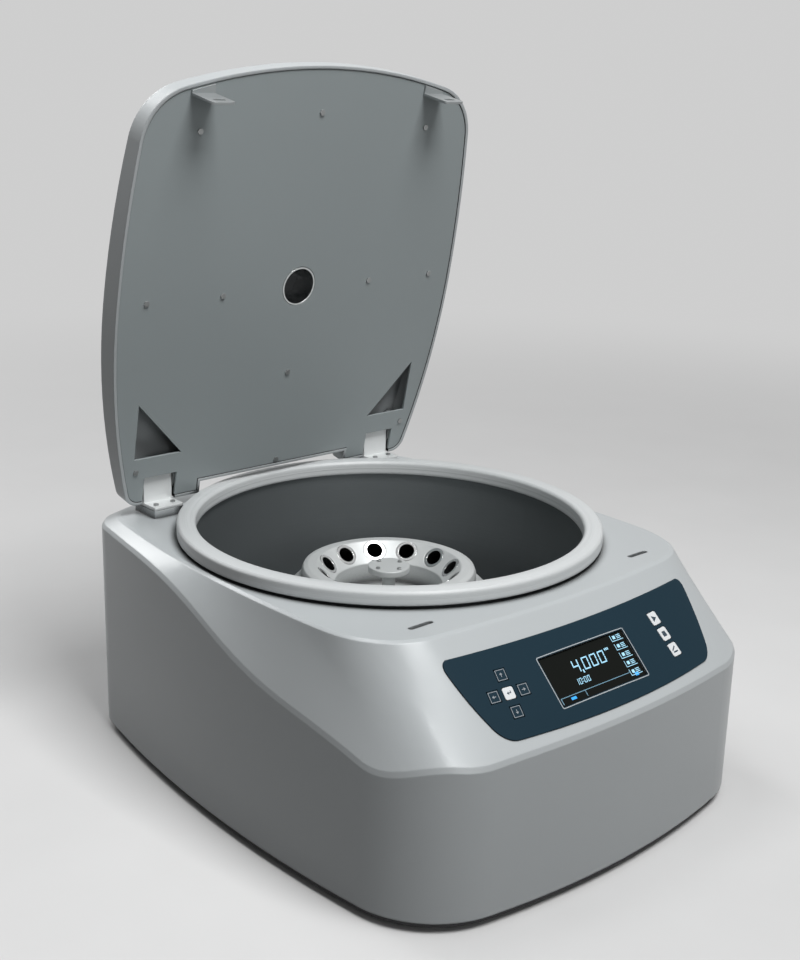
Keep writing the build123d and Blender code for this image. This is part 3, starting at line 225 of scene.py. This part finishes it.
# Control panel: a dark blue film with a matte face, stuck on the slope over a black display
# window. Behind them are the display, two green key boards and the key switches.
overlay_film = finish("overlay_film", (0.0125, 0.0295, 0.043), 0.5, grain=(2600.0, 0.04),
                      eased=0.0003, shine=0.05)
dress(overlay_film, "control_overlay")
screen_black = finish("screen_black", (0.007, 0.008, 0.007), 0.22, grain=(3000.0, 0.01),
                      shine=0.05)
dress(screen_black, "display_window", "display_module")
dress(board_green, "key_boards")
dress(black_moulding, "key_switches", "board_spacers")


# Speed on the display: four slanted seven-segment figures with a comma, and a small unit of
# three dashes. Each printed shape is a thin raised print, drawn in millimetres on the
# outer face of the window or key that carries it.
slope_lean = 0.3
flat_within = 0.00005


def outer_face(name):
    mesh = nodes[name].data
    areas = {}
    for polygon in mesh.polygons:
        if polygon.normal.y < -slope_lean and polygon.normal.z > slope_lean:
            way = tuple(round(c, 3) for c in polygon.normal)
            areas[way] = areas.get(way, 0) + polygon.area
    out = Vector(max(areas, key=areas.get)).normalized()
    across = Vector((0, 0, 1)).cross(out).normalized()
    along = out.cross(across)
    top = max(v.co.dot(out) for v in mesh.vertices)
    face = [v.co for v in mesh.vertices if top - v.co.dot(out) < flat_within]
    middle = [(min(p.dot(d) for p in face) + max(p.dot(d) for p in face)) / 2
              for d in (across, along)]
    place = Matrix((across, along, out)).transposed().to_4x4()
    place.translation = across * middle[0] + along * middle[1] + out * top
    return place


def printed(name, place, outlines, material, body, thick=0.06):
    points, faces = [], []
    for outline in outlines:
        start, count = len(points), len(outline)
        for height in (0.0, thick):
            points += [place @ Vector((x / 1000, y / 1000, height / 1000)) for x, y in outline]
        faces.append(tuple(range(start + count, start + 2 * count)))
        faces += [(start + i, start + (i + 1) % count, start + count + (i + 1) % count,
                   start + count + i) for i in range(count)]
    mesh = bpy.data.meshes.new(name)
    mesh.from_pydata(points, [], faces)
    mesh.materials.append(material)
    piece = bpy.data.objects.new(name, mesh)
    bpy.context.scene.collection.objects.link(piece)
    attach(piece, body)


def oblong(x, y, width, height):
    return [(x, y), (x + width, y), (x + width, y + height), (x, y + height)]


lit_bars = {"0": "abcdef", "1": "bc", "4": "fgbc"}


def figure(digit, x, y, width, height, line):
    half = height / 2
    bars = {"a": (0, height - line, width, line), "g": (0, half - line / 2, width, line),
            "d": (0, 0, width, line), "f": (0, half, line, half), "e": (0, 0, line, half),
            "b": (width - line, half, line, half), "c": (width - line, 0, line, half)}
    inset, slant = line * 0.12, 0.12
    made = []
    for bar in lit_bars[digit]:
        bx, by, bw, bh = bars[bar]
        corners = oblong(bx + inset, by + inset, bw - 2 * inset, bh - 2 * inset)
        made.append([(x + px + slant * py, y + py) for px, py in corners])
    return made


def number(digits, left, base, width, height, line, step, before_gap, gap):
    made = []
    for i, digit in enumerate(digits):
        x = left + i * step + (gap if i >= before_gap else 0)
        made += figure(digit, x, base, width, height, line)
    return made


def glowing(name, colour, strength):
    made = finish(name, colour, 0.4)
    shader = made.node_tree.nodes["Principled BSDF"]
    shader.inputs["Emission Color"].default_value = (*colour, 1)
    shader.inputs["Emission Strength"].default_value = strength
    return made


screen = outer_face("display_window")
screen_w, screen_h = 86.8, 36.2


def at(u, v):
    return (u - 0.5) * screen_w, (0.5 - v) * screen_h


segment_blue = glowing("segment_blue", (0.28, 0.52, 0.66), 0.55)
speed_x, speed_y = at(0.30, 0.49)
unit_x, unit_y = at(0.715, 0.27)
unit_step, unit_w, unit_h = 1.5, 1.0, 1.8
comma_x, comma_drop, comma_w, comma_h = 7.6, 1.4, 1.2, 2.4
speed = number("4000", speed_x, speed_y, width=6.4, height=9.4, line=1.25, step=8.4,
               before_gap=1, gap=1.6)
speed.append(oblong(speed_x + comma_x, speed_y - comma_drop, comma_w, comma_h))
speed += [oblong(unit_x + i * unit_step, unit_y, unit_w, unit_h) for i in range(3)]
printed("speed_figures", screen, speed, segment_blue, "cabinet")

# Time on the display: four smaller figures with a colon of two squares, in the same pale
# blue light.
timer_x, timer_y = at(0.25, 0.72)
colon_x, colon_dot = 7.1, 0.7
timer = number("1000", timer_x, timer_y, width=2.7, height=4.6, line=0.7, step=3.5,
               before_gap=2, gap=1.2)
timer += [oblong(timer_x + colon_x, timer_y + up, colon_dot, colon_dot) for up in (1.1, 3.1)]
printed("timer_figures", screen, timer, segment_blue, "cabinet")

# Side column of the display: five cells, one above the other. Each has two ruled lines, a
# square and three dashes.
column_u, first_v, cell_step = 0.845, 0.165, 0.19
cell_w, cell_h, cell_line = 11.6, 5.0, 0.5
square_x, square_y, square = 2.2, 1.6, 2.6
dash_x, dash_y, dash_step, dash_w, dash_h = 6.0, 1.4, 1.2, 4.2, 0.6
cells = []
for row in range(5):
    x, y = at(column_u, first_v + row * cell_step)
    cells += [oblong(x, y, cell_w, cell_line), oblong(x, y, cell_line, cell_h),
              oblong(x + square_x, y + square_y, square, square)]
    cells += [oblong(x + dash_x, y + dash_y + i * dash_step, dash_w, dash_h)
              for i in range(3)]
printed("side_marks", screen, cells, segment_blue, "cabinet")

# Bottom bar of the display: a dim ruled line with two short dividers under it, and two
# bright blue markers.
bar_x, bar_y = at(0.02, 0.85)
bar_w, bar_line = 71.0, 0.45
divider_x, divider_h, end_line = 24.0, 4.2, 0.6
bar = [oblong(bar_x, bar_y, bar_w, bar_line),
       oblong(bar_x, bar_y - divider_h, end_line, divider_h),
       oblong(bar_x + divider_x, bar_y - divider_h, bar_line, divider_h)]
line_blue = glowing("line_blue", (0.13, 0.25, 0.33), 0.4)
printed("bottom_bar", screen, bar, line_blue, "cabinet")
markers = [oblong(bar_x + x, bar_y - drop, width, height)
           for x, drop, width, height in ((9.0, 3.1, 5.0, 1.9), (75.5, 3.6, 3.4, 2.4))]
marker_blue = glowing("marker_blue", (0.03, 0.30, 0.75), 0.6)
printed("bar_marks", screen, markers, marker_blue, "cabinet")

# Border of the display: a thin pale line with rounded corners, screen-printed on the film
# round the window. It follows the film, which is slightly curved.
border_w, border_h, border_r, border_line = 90.0, 39.4, 1.6, 0.7
side_steps, corner_steps = 8, 6
above_film, into_film, cast_from = 0.00006, 0.00005, 0.02
film = nodes["control_overlay"].data
film_tree = BVHTree.FromPolygons([v.co for v in film.vertices],
                                 [tuple(p.vertices) for p in film.polygons])
corner_points = []
for quarter, (sx, sy) in enumerate(((1, 1), (-1, 1), (-1, -1), (1, -1))):
    for step in range(corner_steps + 1):
        turn = math.radians(90 * quarter + 90 * step / corner_steps)
        corner_points.append((sx * (border_w / 2 - border_r), sy * (border_h / 2 - border_r),
                              math.cos(turn), math.sin(turn)))
route = []
for here, after in zip(corner_points, corner_points[1:] + corner_points[:1]):
    steps = side_steps if here[:2] != after[:2] else 1
    for i in range(steps):
        route.append([a + (b - a) * (i / steps) for a, b in zip(here, after)])
points, faces = [], []
for cx, cy, nx, ny in route:
    for radius in (border_r, border_r - border_line):
        start = screen @ Vector(((cx + nx * radius) / 1000, (cy + ny * radius) / 1000,
                                 cast_from))
        hit, normal, _, _ = film_tree.ray_cast(start, -screen.col[2].to_3d())
        points += [hit + normal * above_film, hit - normal * into_film]
for i in range(len(route)):
    a, b = 4 * i, 4 * ((i + 1) % len(route))
    faces += [(a, b, b + 2, a + 2), (a, a + 1, b + 1, b), (a + 2, b + 2, b + 3, a + 3)]
border_mesh = bpy.data.meshes.new("display_border")
border_mesh.from_pydata(points, [], faces)
border_mesh.materials.append(finish("border_print", (0.36, 0.39, 0.41), 0.45))
border = bpy.data.objects.new("display_border", border_mesh)
bpy.context.scene.collection.objects.link(border)
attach(border, "cabinet")

# Arrow keys: four keys of the same film as the panel. Each has a printed outline and an
# arrow that points its own way.
key_film = finish("key_film", (0.0135, 0.031, 0.045), 0.5, grain=(2600.0, 0.05), shine=0.05)
dress(key_film, "key_up", "key_left", "key_right", "key_down")
outline_w, outline_line = 7.6, 0.45
edge_at, edge_in = outline_w / 2, outline_w / 2 - outline_line
outline = [oblong(-edge_at, -edge_at, outline_w, outline_line),
           oblong(-edge_at, edge_in, outline_w, outline_line),
           oblong(-edge_at, -edge_in, outline_line, outline_w - 2 * outline_line),
           oblong(edge_in, -edge_in, outline_line, outline_w - 2 * outline_line)]
arrow = [[(-0.3, -1.5), (0.3, -1.5), (0.3, 0.2), (-0.3, 0.2)],
         [(-1.3, 0.2), (1.3, 0.2), (0, 1.7)]]
legend_grey = finish("legend_grey", (0.25, 0.27, 0.29), 0.5)
for name, turn in (("up", 0), ("left", 90), ("down", 180), ("right", 270)):
    c, s = math.cos(math.radians(turn)), math.sin(math.radians(turn))
    turned = [[(c * x - s * y, s * x + c * y) for x, y in shape] for shape in arrow]
    printed("legend_" + name, outer_face("key_" + name), outline + turned, legend_grey,
            "key_" + name + "_body")

# White keys: enter in the middle of the pad, and start, stop and open on the right. They
# are white film keys with a dark printed mark.
key_white = finish("key_white", (0.66, 0.68, 0.69), 0.5, grain=(2600.0, 0.05), shine=0.3)
dress(key_white, "key_enter", "key_start", "key_stop", "key_open")
legend_dark = finish("legend_dark", (0.02, 0.04, 0.06), 0.5)
key_marks = {
    "enter": [[(-1.8, 0.1), (-0.2, 1.3), (-0.2, -1.1)], oblong(-0.2, -0.2, 2.0, 0.6),
              oblong(1.2, 0.4, 0.6, 1.2)],
    "start": [[(-2.2, -2.5), (2.6, 0.0), (-2.2, 2.5)]],
    "stop": [oblong(-2.1, -2.1, 4.2, 4.2)],
    "open": [oblong(-2.6, -2.4, 5.2, 1.1), [(-2.6, -0.8), (2.0, 1.8), (1.5, 2.7), (-3.1, 0.1)]],
}
for name, shapes in key_marks.items():
    printed("legend_" + name, outer_face("key_" + name), shapes, legend_dark,
            "key_" + name + "_body")

# Stage floor: pale, so that it keeps the object's shadow and fades into an even background.
# The camera, mirrors and glass see it pale, and little light comes back from it to the
# object.
backdrop = (0.62, 0.62, 0.62)
floor_reach = 30.0
fade_from, fade_to = 0.5, 2.2


def seen_directly(tree):
    ray = added(tree, "LightPath")
    found = ray.outputs["Is Camera Ray"]
    for kind in ("Is Glossy Ray", "Is Transmission Ray"):
        either = added(tree, "Math", links={0: found, 1: ray.outputs[kind]},
                       operation="MAXIMUM")
        found = either.outputs["Value"]
    return found


floor_mesh = bpy.data.meshes.new("floor")
floor_mesh.from_pydata([(-floor_reach, -floor_reach, 0), (floor_reach, -floor_reach, 0),
                        (floor_reach, floor_reach, 0), (-floor_reach, floor_reach, 0)], [],
                       [(0, 1, 2, 3)])
floor = bpy.data.objects.new("floor", floor_mesh)
bpy.context.scene.collection.objects.link(floor)
floor_grey = finish("floor_grey", (0.60, 0.60, 0.60), 0.8, grain=(300.0, 0.02), eased=0.0)
floor_mesh.materials.append(floor_grey)
tree = floor_grey.node_tree
spot = added(tree, "NewGeometry")
reach = added(tree, "VectorMath", links={0: spot.outputs["Position"]}, operation="LENGTH")
fade = added(tree, "MapRange", {"From Min": fade_from, "From Max": fade_to},
             {"Value": reach.outputs["Value"]}, interpolation_type="SMOOTHSTEP")
glow = added(tree, "Emission", {"Color": (*backdrop, 1)})
dull = added(tree, "BsdfDiffuse", {"Color": (0.05, 0.05, 0.05, 1)})
blend = added(tree, "MixShader", links={"Fac": fade.outputs["Result"],
                                        1: tree.nodes["Principled BSDF"].outputs["BSDF"],
                                        2: glow.outputs["Emission"]})
pale = added(tree, "MixShader", links={"Fac": seen_directly(tree), 1: dull.outputs["BSDF"],
                                       2: blend.outputs["Shader"]})
tree.links.new(pale.outputs["Shader"], tree.nodes["Material Output"].inputs["Surface"])

# Studio air: the same pale background where it is seen directly, and a weak even light for
# the object everywhere else.
world = bpy.data.worlds.new("studio")
bpy.context.scene.world = world
world.use_nodes = True
tree = world.node_tree
air = tree.nodes["Background"]
air.inputs["Color"].default_value = (0.75, 0.76, 0.77, 1)
air.inputs["Strength"].default_value = 0.14
far = added(tree, "Background", {"Color": (*backdrop, 1)})
blend = added(tree, "MixShader", links={"Fac": seen_directly(tree),
                                        1: air.outputs["Background"],
                                        2: far.outputs["Background"]})
tree.links.new(blend.outputs["Shader"], tree.nodes["World Output"].inputs["Surface"])

# Lamps: square soft boxes over the deck, at the front and at the rear left, all turned to
# the middle of the cabinet. Each row has its name, place, size in metres and watts.
lit_point = Vector((0, 0, 0.2))
for name, place, size, power in (
    ("overhead", (-0.05, -0.9, 2.0), 0.9, 42),
    ("top_left", (-0.3, 0.45, 2.1), 0.7, 7),
    ("front_fill", (-0.4, -2.4, 0.8), 1.0, 6),
    ("rear_left", (-0.22, 2.2, 1.8), 1.0, 24),
):
    lamp = bpy.data.lights.new(name, "AREA")
    lamp.size = size
    lamp.energy = power
    light = bpy.data.objects.new(name, lamp)
    light.location = place
    light.rotation_euler = (lit_point - Vector(place)).to_track_quat("-Z", "Y").to_euler()
    bpy.context.scene.collection.objects.link(light)

# Camera: it stands where the photograph's stood, in front and to the left of the cabinet
# and a little over the lid's middle, with the same lens and a slight roll.
camera_data = bpy.data.cameras.new("camera")
camera_data.sensor_width = 36.0
camera_data.lens = 52.87
camera = bpy.data.objects.new("camera", camera_data)
bpy.context.scene.collection.objects.link(camera)
camera_heading, camera_tilt, camera_roll = -42.4164, 90 - 16.7595, 1.5446
camera.matrix_world = (Matrix.Translation((-0.7214, -0.7667, 0.5535))
                       @ Matrix.Rotation(math.radians(camera_heading), 4, "Z")
                       @ Matrix.Rotation(math.radians(camera_tilt), 4, "X")
                       @ Matrix.Rotation(math.radians(camera_roll), 4, "Z"))
bpy.context.scene.camera = camera
bpy.context.scene.view_settings.view_transform = "Standard"
